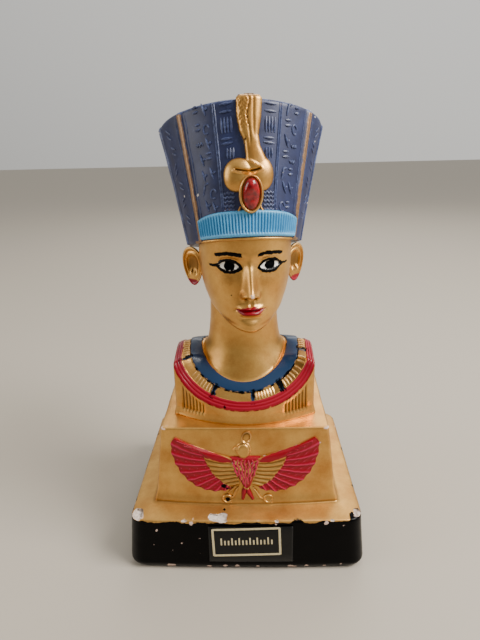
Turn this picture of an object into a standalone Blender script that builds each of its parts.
# Egyptian queen bust: a painted plaster souvenir, cast in one piece with its stepped plinth,
# and a foil label stuck to the front of the plinth's black foot.
# Metres, +Z up, front towards -Y, origin at the middle of the underside.

import math

import bmesh
import bpy
import numpy as np
from mathutils import Vector

# Black foot of the plinth
FOOT_WIDTH = 0.0666
FOOT_DEPTH = 0.0573
FOOT_BACK_EXTRA = 0.0008
FOOT_HEIGHT = 0.0166
FOOT_SPREAD = 0.0012
FOOT_CORNER = 0.0042
FOOT_BOW = 0.0006
UNDERSIDE_ROUND = 0.0014

# Gold ledge, and the block with the falcon that stands on it
LEDGE_WIDTH = 0.0064
LEDGE_RISE = 0.0013
BLOCK_HEIGHT = 0.0232
BLOCK_TAPER = 0.0029
BLOCK_LIP = 0.0007
BLOCK_BOW = 0.0014
BLOCK_CORNER = 0.0009
EDGE_ROUND = 0.0005

# Trunk of the bust with its broad collar
CHEST_WIDTH = 0.0412
CHEST_FRONT = 0.0115
CHEST_BOW = 0.0060
CHEST_BACK = 0.0130
CHEST_CORNER = 0.0012
CHEST_LIP = 0.0005
CHEST_SINK = 0.0006
COLLAR_DIP = 0.0040
SHOULDER_HEIGHT = 0.0178
SHOULDER_FALL = 0.0062
COLLAR_SWELL = 0.0010
BAND_RISE = 0.0005
PLEAT_COUNT = 6
PLEAT_PITCH = 0.00115
PLEAT_DEPTH = 0.0004

# Neck
NECK_BASE_WIDTH = 0.0246
NECK_WIDTH = 0.0200
NECK_BASE_FRONT = 0.0122
NECK_BASE_BACK = 0.0110
NECK_PIT_HEIGHT = 0.0110
NECK_SIDE_HEIGHT = 0.0187
NAPE_HEIGHT = 0.0160

# Head, from the chin to the unseen top of the skull; the face keeps shares of this height
HEAD_HEIGHT = 0.0380
CHIN_RISE = 0.0263
HEAD_WIDTH = 0.0262
HEAD_TURN = math.radians(6.5)
TURN_AXIS_Y = 0.0060

# Ears
EAR_HEIGHT = 0.0114
EAR_WIDTH = 0.0070
EAR_THICKNESS = 0.0018
EAR_FLARE = math.radians(54)

# Tall crown: a leaning cone, wider at the top
CROWN_LOWER_WIDTH = 0.0318
CROWN_LOWER_DEPTH = 0.0326
CROWN_UPPER_WIDTH = 0.0462
CROWN_UPPER_DEPTH = 0.0404
CROWN_RIM_FRONT = -0.0150
CROWN_RIM_SHARE = 0.6947
CROWN_HEIGHT = 0.0337
CROWN_SWEEP = 0.0060
CROWN_LOWER_TILT = math.radians(14.5)
CROWN_UPPER_TILT = math.radians(19)
CROWN_LEAN = 0.0006
CROWN_EDGE_ROUND = 0.0011
RIB_RISE = 0.0005
LINE_RISE = 0.0003

# Pleated brow band
BROW_BAND_HEIGHT = 0.0066
BROW_BAND_RISE = 0.0007
BROW_BAND_HALF_ANGLE = math.radians(49)
FLUTE_COUNT = 30
FLUTE_DEPTH = 0.0003

# Royal cobra on the crown's front
RIBBON_RISE = 0.0013
RIBBON_OVER_EDGE = 0.0012
COIL_HALF_WIDTH = 0.0038
COIL_THICKNESS = 0.0028
HOOD_WIDTH = 0.0058
HOOD_HEIGHT = 0.0094
HOOD_RISE = 0.0026
HOOD_LEVEL = 0.0112
STONE_WIDTH = 0.0038
STONE_HEIGHT = 0.0076

# Falcon on the block's front
WING_SPAN = 0.0424
WING_FEATHERS = 7
WING_RISE = 0.0005
FEATHER_RISE = 0.0003
FALCON_SHARE = 0.608
DISC_RADIUS = 0.0014

# Flakes lost from the foot's upper edge: place along the front, depth from it, height, and size
LEFT_CHIP_INSET = 0.0025
RIGHT_CHIP_INSET = 0.0015
CHIPS = [
    (-0.0076, 0.0002, FOOT_HEIGHT + 0.0004, 0.0050, 0.0040, 0.0014),
    (LEFT_CHIP_INSET - FOOT_WIDTH / 2, 0.0028, FOOT_HEIGHT - 0.0002, 0.0036, 0.0044, 0.0016),
    (FOOT_WIDTH / 2 - RIGHT_CHIP_INSET, 0.0036, FOOT_HEIGHT, 0.0022, 0.0030, 0.0012),
]

# Foil label on the black foot
LABEL_WIDTH = 0.0240
LABEL_HEIGHT = 0.0118
LABEL_CENTRE_X = 0.0014
LABEL_SHARE = 0.566
LABEL_THICKNESS = 0.0002
SEAT_GAP = 0.0003

LEDGE_LEVEL = FOOT_HEIGHT + LEDGE_RISE
BLOCK_TOP = LEDGE_LEVEL + BLOCK_HEIGHT
CHIN_LEVEL = BLOCK_TOP + CHIN_RISE
CROWN_FRONT_LOW = (CROWN_RIM_FRONT, CHIN_LEVEL + CROWN_RIM_SHARE * HEAD_HEIGHT)
CROWN_FRONT_HIGH = (CROWN_RIM_FRONT + CROWN_SWEEP, CROWN_FRONT_LOW[1] + CROWN_HEIGHT)
FALCON_LEVEL = FALCON_SHARE * BLOCK_HEIGHT
LABEL_LEVEL = LABEL_SHARE * FOOT_HEIGHT
BLOCK_HALF_X = FOOT_WIDTH / 2 - LEDGE_WIDTH
BLOCK_HALF_Y = FOOT_DEPTH / 2 - LEDGE_WIDTH


def clear_scene():
    for obj in list(bpy.data.objects):
        bpy.data.objects.remove(obj)


def paint(name, colour, roughness, metallic):
    """A plain finish for one node."""
    material = bpy.data.materials.new(name)
    material.use_nodes = True
    shader = material.node_tree.nodes["Principled BSDF"]
    shader.inputs["Base Color"].default_value = (*colour, 1.0)
    shader.inputs["Roughness"].default_value = roughness
    shader.inputs["Metallic"].default_value = metallic
    return material


def smoothstep(low, high, value):
    t = np.clip((value - low) / (high - low), 0.0, 1.0)
    return t * t * (3 - 2 * t)


def hill(x, z, centre_x, centre_z, spread_x, spread_z):
    """A rounded hill of height one, used to shape the face."""
    return np.exp(-(((x - centre_x) / spread_x) ** 2) - ((z - centre_z) / spread_z) ** 2)


def add_object(name, bm, smooth=math.radians(40)):
    bmesh.ops.recalc_face_normals(bm, faces=bm.faces)
    mesh = bpy.data.meshes.new(name)
    bm.to_mesh(mesh)
    bm.free()
    mesh.shade_smooth()
    mesh.set_sharp_from_angle(angle=smooth)
    obj = bpy.data.objects.new(name, mesh)
    bpy.context.scene.collection.objects.link(obj)
    return obj


def add_loft(bm, rings, end_centres=(None, None)):
    """Closes a stack of rings into a solid. An end is one flat face, or a fan to a given point."""
    rows = [[bm.verts.new(Vector(point)) for point in ring] for ring in rings]
    count = len(rows[0])
    for low, high in zip(rows, rows[1:]):
        for i in range(count):
            j = (i + 1) % count
            bm.faces.new((low[i], low[j], high[j], high[i]))
    for row, centre in zip((rows[0], rows[-1]), end_centres):
        if centre is None:
            bm.faces.new(row)
        else:
            tip = bm.verts.new(Vector(centre))
            for i in range(count):
                bm.faces.new((row[i], row[(i + 1) % count], tip))


def add_slab(bm, lower, upper):
    """Closes two grids of points, one over the other, into a plate."""
    count_u, count_v = lower.shape[0], lower.shape[1]
    low = [[bm.verts.new(Vector(lower[i, j])) for j in range(count_v)] for i in range(count_u)]
    top = [[bm.verts.new(Vector(upper[i, j])) for j in range(count_v)] for i in range(count_u)]
    for i in range(count_u - 1):
        for j in range(count_v - 1):
            bm.faces.new((top[i][j], top[i + 1][j], top[i + 1][j + 1], top[i][j + 1]))
            bm.faces.new((low[i][j], low[i][j + 1], low[i + 1][j + 1], low[i + 1][j]))
    for i in range(count_u - 1):
        for j in (0, count_v - 1):
            bm.faces.new((low[i][j], low[i + 1][j], top[i + 1][j], top[i][j]))
    for j in range(count_v - 1):
        for i in (0, count_u - 1):
            bm.faces.new((low[i][j], top[i][j], top[i][j + 1], low[i][j + 1]))


def plan_ring(half_x, front, back, corner, bow, level, columns, side_count=4, back_count=4, arc_count=3):
    """A ring round a rounded rectangle whose front bows out, from the front's left end, level or not."""
    points = [(u * (half_x - corner), -front - bow * (1 - u * u)) for u in columns]
    corners = ((1, -front, -90), (1, back, 0), (-1, back, 90), (-1, -front, 180))
    for number, (side, edge, start) in enumerate(corners):
        centre_x = side * (half_x - corner)
        centre_y = edge + corner if edge < 0 else edge - corner
        for k in range(1, arc_count + 1):
            angle = math.radians(start + 90 * k / arc_count)
            if number == 3 and k == arc_count:
                continue
            points.append((centre_x + corner * math.cos(angle), centre_y + corner * math.sin(angle)))
        if number == 0:
            runs = np.linspace(-front + corner, back - corner, side_count + 1)[1:]
            points += [(half_x, y) for y in runs[:-1]] + [(half_x, runs[-1])]
        elif number == 1:
            runs = np.linspace(half_x - corner, corner - half_x, back_count + 1)[1:]
            points += [(x, back) for x in runs]
        elif number == 2:
            runs = np.linspace(back - corner, -front + corner, side_count + 1)[1:]
            points += [(-half_x, y) for y in runs]
    plan = np.array(points)
    heights = np.full(len(plan), level) if np.isscalar(level) else level(plan[:, 0], plan[:, 1])
    return np.column_stack([plan, heights])


def block_front(x, level):
    """Y of the block's front face, which leans back and bows out towards its foot."""
    rise = np.clip((level - LEDGE_LEVEL) / BLOCK_HEIGHT, 0.0, 1.0)
    across = np.clip(x / BLOCK_HALF_X, -1.0, 1.0)
    return -(BLOCK_HALF_Y - BLOCK_TAPER * rise) - BLOCK_BOW * (1 - rise) * (1 - across**2)


def foot_front(x, level):
    """Y of the black foot's front face."""
    rise = np.clip(level / FOOT_HEIGHT, 0.0, 1.0)
    across = x / (FOOT_WIDTH / 2)
    return -(FOOT_DEPTH / 2 + FOOT_SPREAD * (1 - rise)) - FOOT_BOW * (1 - across**2)


def make_plinth():
    """Black foot, ledge and block, as one stack of rings."""
    columns = np.linspace(-1, 1, 9)

    def level_ring(grow, level, bow, corner):
        front = FOOT_DEPTH / 2 + grow
        return plan_ring(FOOT_WIDTH / 2 + grow, front, front + FOOT_BACK_EXTRA, corner, bow, level, columns)

    half_edge = EDGE_ROUND / 2
    inner = -LEDGE_WIDTH
    lip_high = LEDGE_LEVEL + 4 * BLOCK_LIP
    top = inner - BLOCK_TAPER
    rings = [
        level_ring(FOOT_SPREAD - UNDERSIDE_ROUND, 0.0, FOOT_BOW, FOOT_CORNER),
        level_ring(FOOT_SPREAD - UNDERSIDE_ROUND / 4, UNDERSIDE_ROUND / 3, FOOT_BOW, FOOT_CORNER),
        level_ring(FOOT_SPREAD, UNDERSIDE_ROUND * 1.4, FOOT_BOW, FOOT_CORNER),
        level_ring(0.0, FOOT_HEIGHT - EDGE_ROUND, FOOT_BOW, FOOT_CORNER),
        level_ring(-EDGE_ROUND, FOOT_HEIGHT, FOOT_BOW, FOOT_CORNER),
        level_ring(inner, LEDGE_LEVEL, BLOCK_BOW, BLOCK_CORNER),
        level_ring(inner, LEDGE_LEVEL + BLOCK_LIP, BLOCK_BOW, BLOCK_CORNER),
        level_ring(inner - BLOCK_LIP, lip_high, BLOCK_BOW * 0.8, BLOCK_CORNER),
        level_ring(top, BLOCK_TOP - EDGE_ROUND, half_edge, BLOCK_CORNER),
        level_ring(top - EDGE_ROUND, BLOCK_TOP, half_edge, BLOCK_CORNER),
    ]
    bm = bmesh.new()
    add_loft(bm, rings)
    return add_object("queen_bust", bm)


def collar_edge_level(x, y):
    """Height of the collar's outer edge: low in front, high over the shoulders."""
    half = CHEST_WIDTH / 2
    front_share = smoothstep(0.0, CHEST_FRONT, -y)
    sweep = 1 - np.sqrt(np.clip(1 - (np.abs(x) / (half * 1.01)) ** 2.2, 0.0, 1.0))
    low = BLOCK_TOP + COLLAR_DIP
    high = BLOCK_TOP + SHOULDER_HEIGHT
    front = low + (high - low) * sweep
    fall = SHOULDER_FALL * np.clip(y / CHEST_BACK, 0.0, 1.0) ** 1.2
    return high - fall + (front - high) * front_share


def neck_base(plan):
    """Points of the neck's base ring that face the given plan points."""
    angle = np.arctan2(plan[:, 0], -plan[:, 1])
    facing = np.cos(angle)
    front_share = (((1 + facing) / 2) ** 2 - 0.25) / 0.75
    rise = np.where(
        facing > 0,
        NECK_SIDE_HEIGHT + (NECK_PIT_HEIGHT - NECK_SIDE_HEIGHT) * front_share,
        NECK_SIDE_HEIGHT + (NAPE_HEIGHT - NECK_SIDE_HEIGHT) * facing**2,
    )
    reach = np.where(facing > 0, NECK_BASE_FRONT, NECK_BASE_BACK)
    x = NECK_BASE_WIDTH / 2 * np.sin(angle)
    y = -reach * facing
    level = BLOCK_TOP + rise
    return np.column_stack([x, y, level]), angle


def neck_ring(angle, level, width, front, back):
    reach = np.where(np.cos(angle) > 0, front, back)
    return np.column_stack(
        [width / 2 * np.sin(angle), -reach * np.cos(angle), np.full(len(angle), level)]
    )


def make_chest():
    """Trunk, collar and neck. The collar's bands follow the rows, the pleats follow the columns."""
    half = CHEST_WIDTH / 2
    straight = half - CHEST_CORNER
    pleat_edge = straight - 0.0012
    steps = np.arange(2 * PLEAT_COUNT + 1)
    pleat_x = pleat_edge - steps * PLEAT_PITCH / 2
    middle = np.linspace(-1, 1, 9) * (pleat_x[-1] - PLEAT_PITCH)
    columns = np.concatenate([[-straight], -pleat_x, middle, pleat_x[::-1], [straight]]) / straight

    def ring(grow, level, sunk=False):
        made = plan_ring(
            half + grow, CHEST_FRONT + grow, CHEST_BACK + grow, CHEST_CORNER, CHEST_BOW, level, columns,
            side_count=4, back_count=6, arc_count=2,
        )
        if sunk:
            first = 1
            for k in range(1, 2 * PLEAT_COUNT, 2):
                made[first + k, 1] += PLEAT_DEPTH
                made[len(columns) - 1 - first - k, 1] += PLEAT_DEPTH
        return made

    foot = BLOCK_TOP
    lip = 0.0010
    edge = ring(0.0, collar_edge_level)
    base, angle = neck_base(edge)

    def collar_row(share, rise):
        row = edge + (base - edge) * share
        row[:, 2] += COLLAR_SWELL * math.sin(math.pi * share) + rise
        return row

    lower = ring(0.0, foot + 2 * lip, sunk=True)
    upper = ring(0.0, lambda x, y: collar_edge_level(x, y) - 0.0006, sunk=True)
    rings = [
        ring(-2 * CHEST_LIP, foot - CHEST_SINK),
        ring(-CHEST_LIP, foot + CHEST_LIP / 2),
        ring(CHEST_LIP, foot + lip),
        lower,
        np.maximum(upper, lower) * [0, 0, 1] + upper * [1, 1, 0],
        collar_row(0.01, 0.0),
        collar_row(0.04, BAND_RISE),
        collar_row(0.36, BAND_RISE),
        collar_row(0.38, 0.0),
        collar_row(0.60, 0.0),
        collar_row(0.62, BAND_RISE),
        collar_row(0.97, BAND_RISE),
        collar_row(1.00, 0.0),
        neck_ring(angle, CHIN_LEVEL - 0.0045, NECK_WIDTH + 0.0014, 0.0090, 0.0100),
        neck_ring(angle, CHIN_LEVEL + 0.0015, NECK_WIDTH, 0.0086, 0.0096),
        neck_ring(angle, CHIN_LEVEL + 0.0120, NECK_WIDTH - 0.0010, 0.0078, 0.0096),
    ]
    bm = bmesh.new()
    add_loft(bm, rings)
    return add_object("chest", bm)


# Heights on the face as shares of the head's height above the chin
FACE_ROWS = np.array([-0.006, 0.012, 0.065, 0.17, 0.33, 0.50, 0.66, 0.82])
FACE_HALF_WIDTHS = np.array([0.50, 0.63, 0.78, 0.885, 0.965, 1.0, 1.0, 0.985])
FACE_FRONTS = np.array([0.310, 0.362, 0.384, 0.384, 0.380, 0.371, 0.383, 0.372])
FACE_BACKS = np.array([0.21, 0.25, 0.28, 0.31, 0.35, 0.38, 0.395, 0.38])
FACE_ROUNDNESS = np.array([1.75, 1.8, 1.85, 1.95, 2.1, 2.25, 2.3, 2.3])
NAPE_SHARES = (0.27, 0.64)
EYE_SHARE = 0.50
BROW_SHARE = 0.585
NOSE_BASE_SHARE = 0.275
MOUTH_SHARE = 0.192
EYE_SPACING = 0.145


def face_relief(x, z):
    """How far the features stand out from the plain oval of the face, at shares of the head's height."""
    side = np.abs(x)
    relief = -0.046 * hill(side, z, EYE_SPACING, EYE_SHARE + 0.012, 0.084, 0.054)
    relief += 0.012 * hill(side, z, 0.120, BROW_SHARE - 0.004, 0.120, 0.030)
    relief += 0.038 * hill(side, z, EYE_SPACING, EYE_SHARE - 0.003, 0.066, 0.031)
    lid = EYE_SHARE + 0.024 - 0.030 * ((side - EYE_SPACING) / 0.075) ** 2
    relief += 0.012 * np.exp(-(((z - lid) / 0.011) ** 2) - ((side - EYE_SPACING) / 0.075) ** 4)
    relief += 0.012 * hill(side, z, 0.200, 0.360, 0.095, 0.095)
    down = np.clip((0.51 - z) / 0.20, 0.0, 1.0)
    bridge = 0.028 + 0.074 * down**1.1
    width = 0.034 + 0.012 * down
    under = smoothstep(NOSE_BASE_SHARE - 0.008, NOSE_BASE_SHARE + 0.034, z)
    above = 1 - smoothstep(0.47, 0.60, z)
    relief += bridge * under * above * np.exp(-((side / width) ** 2.4))
    relief += 0.034 * hill(side, z, 0.056, NOSE_BASE_SHARE + 0.026, 0.023, 0.026)
    relief += 0.018 * hill(side, z, 0.0, MOUTH_SHARE + 0.010, 0.130, 0.080)
    relief += 0.024 * np.exp(-((side / 0.085) ** 4) - ((z - MOUTH_SHARE - 0.021) / 0.016) ** 2)
    relief += 0.027 * np.exp(-((side / 0.070) ** 4) - ((z - MOUTH_SHARE + 0.023) / 0.019) ** 2)
    relief -= 0.014 * np.exp(-((side / 0.105) ** 6) - ((z - MOUTH_SHARE) / 0.008) ** 2)
    relief -= 0.014 * hill(side, z, 0.0, 0.125, 0.070, 0.022)
    relief += 0.020 * hill(side, z, 0.0, 0.055, 0.075, 0.045)
    return relief


def head_ring(angle, share):
    """One ring of the head; its plane tilts so that the row runs from the face to the nape."""
    width = HEAD_WIDTH / 2 * np.interp(share, FACE_ROWS, FACE_HALF_WIDTHS)
    front = HEAD_HEIGHT * np.interp(share, FACE_ROWS, FACE_FRONTS)
    back = HEAD_HEIGHT * np.interp(share, FACE_ROWS, FACE_BACKS)
    power = np.interp(share, FACE_ROWS, FACE_ROUNDNESS)
    reach = np.where(np.cos(angle) > 0, front, back)
    radius = ((np.abs(np.sin(angle)) / width) ** power + (np.abs(np.cos(angle)) / reach) ** power) ** (-1 / power)
    x = radius * np.sin(angle)
    y = -radius * np.cos(angle)
    across = (share - FACE_ROWS[0]) / (FACE_ROWS[-1] - FACE_ROWS[0])
    rear = NAPE_SHARES[0] + (NAPE_SHARES[1] - NAPE_SHARES[0]) * across
    level = CHIN_LEVEL + HEAD_HEIGHT * (share + (rear - share) * (y + front) / (front + back))
    relief = face_relief(x / HEAD_HEIGHT, (level - CHIN_LEVEL) / HEAD_HEIGHT)
    y = y - HEAD_HEIGHT * relief * smoothstep(0.25, 0.75, np.cos(angle))
    return np.column_stack([x, y, level])


def turned(points):
    """Turns head points about the upright axis, as the head faces a little to its left."""
    points = np.asarray(points, float)
    x, y = points[..., 0], points[..., 1] - TURN_AXIS_Y
    cos, sin = math.cos(HEAD_TURN), math.sin(HEAD_TURN)
    return np.stack([cos * x - sin * y, sin * x + cos * y + TURN_AXIS_Y, points[..., 2]], -1)


def make_head():
    half_face = np.concatenate([np.arange(0.4, 3.5, 0.7), [4.2, 5.2, 6.2, 7.2, 8.4, 9.8, 11.4]]) * HEAD_WIDTH / 26.2
    face_x = np.concatenate([-half_face[::-1], half_face])
    face_angles = np.arcsin(face_x / (HEAD_WIDTH / 2 * 1.02))
    back_angles = np.radians(np.linspace(76, 284, 12))
    angle = np.concatenate([face_angles, back_angles])
    jaw = [-0.006, 0.012, 0.040, 0.075, 0.105, 0.130]
    mouth = MOUTH_SHARE + np.array([-0.042, -0.024, -0.010, 0.0, 0.010, 0.022, 0.042])
    nose = NOSE_BASE_SHARE + np.array([-0.016, 0.0, 0.014, 0.034, 0.060, 0.095, 0.135, 0.165])
    eye = EYE_SHARE + np.array([-0.034, -0.018, -0.004, 0.010, 0.022, 0.036, 0.055, 0.078, 0.100])
    shares = np.concatenate([jaw, mouth, nose, eye, [0.66, 0.74, 0.82]])
    rings = [head_ring(angle, share) for share in shares]
    throat = rings[0] * [0.62, 0.55, 1] + [0, -0.0016, 0.0012]
    rings.insert(0, throat)
    low_centre = (0, -0.002, CHIN_LEVEL + 0.006)
    high_centre = (0, 0, CHIN_LEVEL + 0.73 * HEAD_HEIGHT)
    bm = bmesh.new()
    add_loft(
        bm,
        [turned(ring) for ring in rings],
        (turned([low_centre])[0], turned([high_centre])[0]),
    )
    return add_object("head", bm)


def make_ear(side):
    """One ear: an egg-shaped shell with a raised rim round a hollow, leaning out from the head."""
    count = 14
    turn = np.linspace(0, 2 * math.pi, count, endpoint=False)
    outline_u = np.cos(turn) * EAR_WIDTH / 2 * (1 + 0.22 * np.sin(turn))
    outline_v = np.sin(turn) * EAR_HEIGHT / 2
    centre = (HEAD_WIDTH / 2 - 0.0008, 0.0016, CHIN_LEVEL + 0.415 * HEAD_HEIGHT)
    rings = []
    for scale, rise in ((0.55, -1.2), (0.95, -0.8), (1.0, 0.0), (0.94, 0.5), (0.80, 0.35), (0.62, -0.45)):
        u = outline_u * scale + EAR_WIDTH / 2
        rise_line = rise * EAR_THICKNESS / 2
        x = centre[0] + u * math.sin(EAR_FLARE) + rise_line * math.cos(EAR_FLARE) * 0.4
        y = centre[1] + u * math.cos(EAR_FLARE) - rise_line - EAR_WIDTH * 0.25
        z = centre[2] + outline_v * scale + 0.12 * u
        rings.append(np.column_stack([side * x, y, z]))
    middle = [ring.mean(axis=0) for ring in (rings[0], rings[-1])]
    bm = bmesh.new()
    add_loft(bm, [turned(ring) for ring in rings], [turned([point])[0] for point in middle])
    return add_object("ear", bm)


def crown_point(angle, rise, lift=0.0):
    """A point of the crown's side: angle from the front, rise from 0 at the rim to 1 at the top."""
    angle, rise, lift = np.broadcast_arrays(*(np.asarray(a, float) for a in (angle, rise, lift)))

    def surface(a, r):
        flare = 0.86 * r + 0.14 * r**2
        half_x = (CROWN_LOWER_WIDTH + (CROWN_UPPER_WIDTH - CROWN_LOWER_WIDTH) * flare) / 2
        half_y = (CROWN_LOWER_DEPTH + (CROWN_UPPER_DEPTH - CROWN_LOWER_DEPTH) * r) / 2
        tilt = CROWN_LOWER_TILT + (CROWN_UPPER_TILT - CROWN_LOWER_TILT) * r
        front_y = CROWN_FRONT_LOW[0] + (CROWN_FRONT_HIGH[0] - CROWN_FRONT_LOW[0]) * r
        front_z = CROWN_FRONT_LOW[1] + (CROWN_FRONT_HIGH[1] - CROWN_FRONT_LOW[1]) * r
        power = 2.0 - 0.2 * r * (np.cos(a) > 0)
        reach = (np.abs(np.sin(a)) ** power + np.abs(np.cos(a)) ** power) ** (-1 / power)
        back = half_y * (1 - reach * np.cos(a))
        x = half_x * reach * np.sin(a) + CROWN_LEAN * r
        return np.stack([x, front_y + back * np.cos(tilt), front_z - back * np.sin(tilt)], -1)

    small = 1e-4
    along = surface(angle + small, rise) - surface(angle - small, rise)
    up = surface(angle, rise + small) - surface(angle, rise - small)
    normal = np.cross(along, up)
    normal /= np.linalg.norm(normal, axis=-1, keepdims=True)
    return turned(surface(angle, rise) + normal * lift[..., None])


CROWN_SLANT = math.hypot(
    CROWN_FRONT_HIGH[0] - CROWN_FRONT_LOW[0], CROWN_FRONT_HIGH[1] - CROWN_FRONT_LOW[1]
)


def crown_front(x, height, lift=0.0):
    """A point on the crown's front, by its distance from the middle line and its height over the rim."""
    rise = np.asarray(height, float) / CROWN_SLANT
    radius = (CROWN_LOWER_WIDTH + (CROWN_UPPER_WIDTH - CROWN_LOWER_WIDTH) * rise) / 2
    return crown_point(np.asarray(x, float) / radius, rise, lift)


# Upright ribs of the crown: angle from the front, half width as an angle, and height
RIBS = [
    (math.radians(22), math.radians(1.0), LINE_RISE),
    (math.radians(50.5), math.radians(2.6), RIB_RISE),
    (math.radians(84), math.radians(2.2), RIB_RISE),
    (math.radians(130), math.radians(2.6), RIB_RISE),
    (math.radians(158), math.radians(1.0), LINE_RISE),
]


def make_crown():
    columns = {}
    for middle, half, height in RIBS:
        for side in (-1, 1):
            for offset, lift in ((-1.5, 0.0), (-0.8, height), (0.8, height), (1.5, 0.0)):
                columns[side * (middle + offset * half)] = lift
    plain = (0, 8, 15, 29, 36, 43, 60, 68, 76, 95, 106, 118, 142, 168)
    for degrees in plain:
        for side in (-1, 1):
            columns[side * math.radians(degrees)] = 0.0
    columns[math.pi] = 0.0
    angle = np.array(sorted(columns))
    lift = np.array([columns[a] for a in angle])
    rim = 0.0009
    round_share = CROWN_EDGE_ROUND / CROWN_SLANT
    rises = [0.035] + list(np.linspace(0.2, 0.8, 3)) + [1 - 1.6 * round_share]
    rings = [crown_point(angle, 0.0, -2 * rim), crown_point(angle, 0.0, -rim / 2), crown_point(angle, 0.03, 0.0)]
    rings += [crown_point(angle, rise, lift) for rise in rises]
    rings += [
        crown_point(angle, 1 - 0.5 * round_share, lift * 0.6 - 0.3 * CROWN_EDGE_ROUND),
        crown_point(angle, 1.0, -CROWN_EDGE_ROUND),
    ]
    middle = rings[-1].mean(axis=0)
    rings.append(middle + (crown_point(angle, 1.0, -CROWN_EDGE_ROUND - lift) - middle) * 0.9)
    bm = bmesh.new()
    add_loft(bm, rings, (rings[0].mean(axis=0), rings[-1].mean(axis=0)))
    return add_object("crown", bm)


def make_brow_band():
    """The pleated band over the brow, with a flute between each pair of its columns."""
    steps = np.arange(2 * FLUTE_COUNT + 1)
    angle = np.linspace(-1, 1, len(steps)) * BROW_BAND_HALF_ANGLE
    ends = 1 - 0.2 * np.abs(angle / BROW_BAND_HALF_ANGLE) ** 4
    top = BROW_BAND_HEIGHT / CROWN_SLANT * ends
    flute = np.where(steps % 2 == 1, FLUTE_DEPTH, 0.0)
    rows = [(0.0, 0.0, 0.0), (0.12, 1.0, 1.0), (0.88, 1.0, 1.0), (1.0, 0.0, 0.0)]
    upper = np.stack(
        [crown_point(angle, top * share, BROW_BAND_RISE * rise - flute * cut) for share, rise, cut in rows], 1
    )
    lower = np.stack([crown_point(angle, top * share, -0.0010) for share, rise, cut in rows], 1)
    bm = bmesh.new()
    add_slab(bm, lower, upper)
    return add_object("brow_band", bm)


def add_crown_band(bm, centre_line, half_widths, rise, sunk=0.0010):
    """A rounded band that lies on the crown's front along a line of (x, height) points."""
    line = np.array(centre_line, float)
    ahead = np.gradient(line, axis=0)
    side = np.column_stack([ahead[:, 1], -ahead[:, 0]]) / np.linalg.norm(ahead, axis=1)[:, None]
    widths = np.broadcast_to(half_widths, len(line))[:, None]
    shares = ((-1.0, 0.0), (-0.8, 0.75), (0.0, 1.0), (0.8, 0.75), (1.0, 0.0))
    upper = np.stack(
        [crown_front(*(line + side * widths * across).T, rise * height) for across, height in shares], 1
    )
    lower = np.stack([crown_front(*(line + side * widths * across).T, -sunk) for across, _ in shares], 1)
    add_slab(bm, lower, upper)


def make_cobra():
    """Body running over the crown's top edge and down into two full loops, with a fold across them."""
    bm = bmesh.new()
    over = CROWN_SLANT + RIBBON_OVER_EDGE * np.array([-0.2, 0.6, 1.0])
    heights = np.append(np.linspace(0.0130, CROWN_SLANT - 0.0022, 9), over)
    centre = 0.0008 + 0.0014 * hill(heights, 0, 0.0205, 0, 0.0035, 1)
    half = 0.0034 - 0.0012 * hill(heights, 0, 0.0243, 0, 0.0030, 1)
    half *= 0.35 + 0.65 * smoothstep(0.0125, 0.0170, heights)
    half[-2:] *= [0.85, 0.55]
    rise = np.append(np.full(10, RIBBON_RISE), [RIBBON_RISE * 0.7, 0.0])
    add_crown_band(bm, np.column_stack([centre, heights]), half, rise, sunk=0.0034)
    turn = np.radians(np.linspace(-72, 252, 16))
    coil = np.column_stack([0.0002 + COIL_HALF_WIDTH * np.cos(turn), 0.0160 + 0.0023 * np.sin(turn)])
    swell = COIL_THICKNESS * (0.78 + 0.22 * np.sin((turn - turn[0]) / (turn[-1] - turn[0]) * math.pi))
    add_crown_band(bm, coil, swell, RIBBON_RISE)
    cross = np.linspace(-1, 1, 7)
    crossing = np.column_stack([-0.0003 + 0.0034 * cross, 0.0166 + 0.0007 * cross**2])
    add_crown_band(bm, crossing, 0.0005, RIBBON_RISE + 0.0006)
    return add_object("cobra", bm)


def make_hood():
    """The cobra's oval hood with its polished stone, tilted out from the crown."""
    count = 16
    turn = np.linspace(0, 2 * math.pi, count, endpoint=False)
    rows = (
        (HOOD_WIDTH, HOOD_HEIGHT, -0.0010),
        (HOOD_WIDTH, HOOD_HEIGHT, HOOD_RISE * 0.55),
        (HOOD_WIDTH * 0.88, HOOD_HEIGHT * 0.93, HOOD_RISE * 0.85),
        (STONE_WIDTH * 1.06, STONE_HEIGHT * 1.03, HOOD_RISE * 0.80),
        (STONE_WIDTH, STONE_HEIGHT, HOOD_RISE * 0.95),
        (STONE_WIDTH * 0.62, STONE_HEIGHT * 0.66, HOOD_RISE * 1.22),
    )
    rings = []
    for width, height, lift in rows:
        out = lift * (1 + 0.25 * np.sin(turn)) if lift > 0 else lift
        rings.append(crown_front(width / 2 * np.cos(turn), HOOD_LEVEL + height / 2 * np.sin(turn), out))
    ends = [crown_front([0.0], [HOOD_LEVEL], [lift])[0] for lift in (-0.0012, HOOD_RISE * 1.3)]
    bm = bmesh.new()
    add_loft(bm, rings, ends)
    return add_object("hood", bm)


def add_stroke(bm, surface, start, end, half_width, rise, sunk=0.0005):
    """A short raised bar between two points of a decorated surface."""
    start, end = np.array(start, float), np.array(end, float)
    ahead = (end - start) / np.linalg.norm(end - start)
    side = np.array([ahead[1], -ahead[0]]) * half_width
    corners = np.array([[start - side, start + side], [end - side, end + side]])
    shrunk = np.array([[start - side * 0.55, start + side * 0.55], [end - side * 0.55, end + side * 0.55]])
    upper = surface(shrunk[..., 0], shrunk[..., 1], rise)
    lower = surface(corners[..., 0], corners[..., 1], -sunk)
    add_slab(bm, lower, upper)


def panel_height(share):
    """Height over the rim of a row of marks: 0 at the brow band's top, 1 at the crown's top edge."""
    return BROW_BAND_HEIGHT + share * (CROWN_SLANT - BROW_BAND_HEIGHT)


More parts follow.
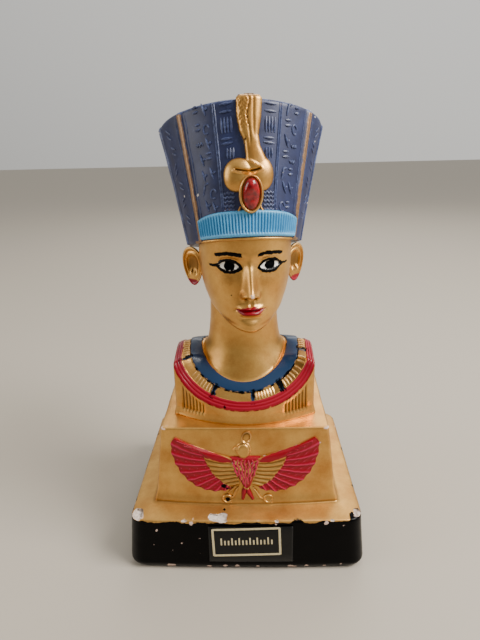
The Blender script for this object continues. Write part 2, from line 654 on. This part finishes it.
def make_crown_marks():
    """Rows of plain strokes where the crown's panels are carved: bars and ripples, no writing."""
    bm = bmesh.new()
    width, rise = 0.00028, 0.0003
    for side in (-1, 1):
        for row, long in ((0.926, 0.0012), (0.847, 0.0012), (0.637, 0.0012), (0.594, 0.0010)):
            centre, level = side * 0.0054, panel_height(row)
            add_stroke(bm, crown_front, (centre - long, level), (centre + long, level), width, rise)
        for low, high in ((0.673, 0.811), (0.413, 0.557)):
            low, high = panel_height(low), panel_height(high)
            for k in range(3):
                x = side * (0.0043 + 0.0010 * k)
                if side > 0 or high > panel_height(0.6):
                    add_stroke(bm, crown_front, (x, low), (x, high), width, rise)
        for k in range(4):
            level = panel_height(0.058 + 0.043 * k)
            add_stroke(bm, crown_front, (side * 0.0040, level), (side * 0.0062, level), width, rise)
        for k in range(4):
            x, level, upper = side * 0.0106, panel_height(0.087 + 0.239 * k), panel_height(0.195 + 0.239 * k)
            add_stroke(bm, crown_front, (x - 0.0013, level), (x + 0.0007, upper), width, rise)
    return add_object("crown_marks", bm)


def block_surface(x, level, lift):
    """A point on the block's front, raised towards the viewer."""
    x, level, lift = np.broadcast_arrays(*(np.asarray(a, float) for a in (x, level, lift)))
    return np.stack([x, block_front(x, level) - lift, level], -1)


def wing_rim(turn):
    """The wing's outer edge, from the raised tip at 0 round to the inner end at 1."""
    angle = np.radians(-8 + 116 * np.asarray(turn, float))
    tip = np.clip(-angle / math.radians(8), 0.0, 1.0) ** 1.5
    x = WING_SPAN * (0.200 + 0.300 * np.cos(angle) - 0.022 * tip)
    level = FALCON_LEVEL + WING_SPAN * (0.104 - 0.333 * np.sin(angle))
    return np.stack([x, level], -1)


def wing_border(turn):
    """The line where the inner feathers end and the long ones begin."""
    turn = np.asarray(turn, float)[..., None]
    ends = WING_SPAN * np.array([[0.302, 0.054], [0.250, -0.125], [0.104, -0.191]])
    line = ends[0] * (1 - turn) ** 2 + ends[1] * 2 * turn * (1 - turn) + ends[2] * turn**2
    return line + [0.0, FALCON_LEVEL]


def wing_root(turn):
    """The line where the wing leaves the falcon's side."""
    turn = np.asarray(turn, float)
    return np.stack([WING_SPAN * (0.062 - 0.022 * turn), FALCON_LEVEL - WING_SPAN * 0.175 * turn], -1)


def make_falcon():
    """Falcon with spread wings, a disc over its head and a ring in each claw, in low relief."""
    bm = bmesh.new()
    steps = np.arange(2 * WING_FEATHERS + 1)
    turn = steps / steps[-1]
    ridge = np.where(steps % 2 == 1, FEATHER_RISE, 0.0)
    rim, border, root = wing_rim(turn), wing_border(turn), wing_root(turn)
    sag = np.stack([0 * turn, -0.0006 * (1 - turn) ** 2], -1)
    lines = [root, (root + border) / 2 + sag, border, border + (rim - border) * 0.04, (border + rim) / 2 + sag, rim]
    lifts = [WING_RISE + ridge * k + step for k, step in ((0, 2e-4), (1, 2e-4), (0.6, 2e-4), (1, 0), (1, 0), (0.3, 0))]
    for side in (-1, 1):
        flat = np.stack(lines, 1)
        x, level = side * flat[..., 0], LEDGE_LEVEL + flat[..., 1]
        add_slab(bm, block_surface(x, level, -0.0006), block_surface(x, level, np.stack(lifts, 1)))
    circle = np.linspace(0, 2 * math.pi, 12, endpoint=False)

    def add_disc(centre_x, level, half_x, half_z, rise, taper=0.0):
        rings = []
        for scale, lift in ((1.0, -0.0006), (1.0, rise * 0.6), (0.72, rise)):
            x = centre_x + half_x * scale * np.cos(circle) * (1 + taper * np.sin(circle))
            rings.append(block_surface(x, level + half_z * scale * np.sin(circle), lift))
        add_loft(bm, rings)

    shoulder = LEDGE_LEVEL + FALCON_LEVEL
    add_disc(0.0, shoulder - 0.0040, 0.0036, 0.0049, 0.0010, taper=0.35)
    add_disc(-0.0004, shoulder + 0.0024, 0.0019, 0.0024, 0.0008)
    add_stroke(bm, block_surface, (-0.0012, shoulder + 0.0034), (-0.0030, shoulder + 0.0029), 0.0005, 0.0006)
    add_disc(0.0005, shoulder + 0.0066, DISC_RADIUS, DISC_RADIUS * 1.1, 0.0007)
    fork = shoulder - 0.0084
    for side in (-1, 1):
        tail_end = (0.0007 + side * 0.0016, LEDGE_LEVEL + 0.0012)
        add_stroke(bm, block_surface, (0.0004, fork), tail_end, 0.0007, WING_RISE)
        claw_end = (0.0006 + side * 0.0052, LEDGE_LEVEL + 0.0024)
        add_stroke(bm, block_surface, (side * 0.0018, fork + 0.0008), claw_end, 0.0005, WING_RISE)
        add_disc(0.0007 + side * 0.0060, LEDGE_LEVEL + 0.0017, 0.0013, 0.0012, 0.0006)
    return add_object("falcon", bm)


def foot_surface(x, level, lift):
    x, level, lift = np.broadcast_arrays(*(np.asarray(a, float) for a in (x, level, lift)))
    return np.stack([x, foot_front(x, level) - lift, level], -1)


def make_label():
    """The foil label, following the foot's front face."""
    x = LABEL_CENTRE_X + np.linspace(-0.5, 0.5, 5) * LABEL_WIDTH
    level = LABEL_LEVEL + np.linspace(-0.5, 0.5, 3) * LABEL_HEIGHT
    grid_x, grid_level = np.meshgrid(x, level, indexing="ij")
    bm = bmesh.new()
    add_slab(
        bm,
        foot_surface(grid_x, grid_level, SEAT_GAP),
        foot_surface(grid_x, grid_level, SEAT_GAP + LABEL_THICKNESS),
    )
    return add_object("foil_label", bm)


def add_lump(bm, centre, size):
    """A rough seven-sided lump, the shape that a flake of plaster leaves behind."""
    turn = np.linspace(0, 2 * math.pi, 7, endpoint=False)
    uneven = 1 + 0.18 * np.sin(3 * turn + centre[0] * 900)
    rings = []
    for level, scale in ((-0.8, 0.55), (-0.2, 1.0), (0.5, 0.9), (0.9, 0.4)):
        x = centre[0] + size[0] / 2 * scale * uneven * np.cos(turn)
        y = centre[1] + size[1] / 2 * scale * uneven * np.sin(turn)
        rings.append(np.column_stack([x, y, np.full(7, centre[2] + size[2] / 2 * level)]))
    add_loft(bm, rings)


def make_chips():
    """Flakes lost from the foot's upper edge: one at the front, one on each front corner."""
    bm = bmesh.new()
    edge = -FOOT_DEPTH / 2
    for x, y, level, wide, deep, high in CHIPS:
        add_lump(bm, (x, edge + y, level), (wide, deep, high))
    return add_object("chips", bm)


def unite(target, helpers):
    """Joins the helper solids to the casting, and keeps them out of the render."""
    group = bpy.data.collections.new("cast_with_the_plinth")
    bpy.context.scene.collection.children.link(group)
    for helper in helpers:
        bpy.context.scene.collection.objects.unlink(helper)
        group.objects.link(helper)
        helper.hide_render = True
        helper.display_type = "WIRE"
    union = target.modifiers.new("one_casting", "BOOLEAN")
    union.operation = "UNION"
    union.solver = "EXACT"
    union.operand_type = "COLLECTION"
    union.collection = group
    union.use_self = True


def cut(target, tool):
    """Takes the helper solid away from the casting."""
    tool.hide_render = True
    tool.display_type = "WIRE"
    difference = target.modifiers.new("flakes_lost", "BOOLEAN")
    difference.operation = "DIFFERENCE"
    difference.solver = "EXACT"
    difference.object = tool


def main():
    clear_scene()
    bust = make_plinth()
    helpers = [
        make_chest(), make_head(), make_ear(-1), make_ear(1), make_crown(), make_brow_band(),
        make_cobra(), make_hood(), make_crown_marks(), make_falcon(),
    ]
    unite(bust, helpers)
    cut(bust, make_chips())
    bust.data.materials.append(paint("gold_painted_plaster", (0.53, 0.33, 0.12), 0.42, 0.55))
    label = make_label()
    label.data.materials.append(paint("black_foil", (0.012, 0.012, 0.014), 0.35, 0.0))


main()
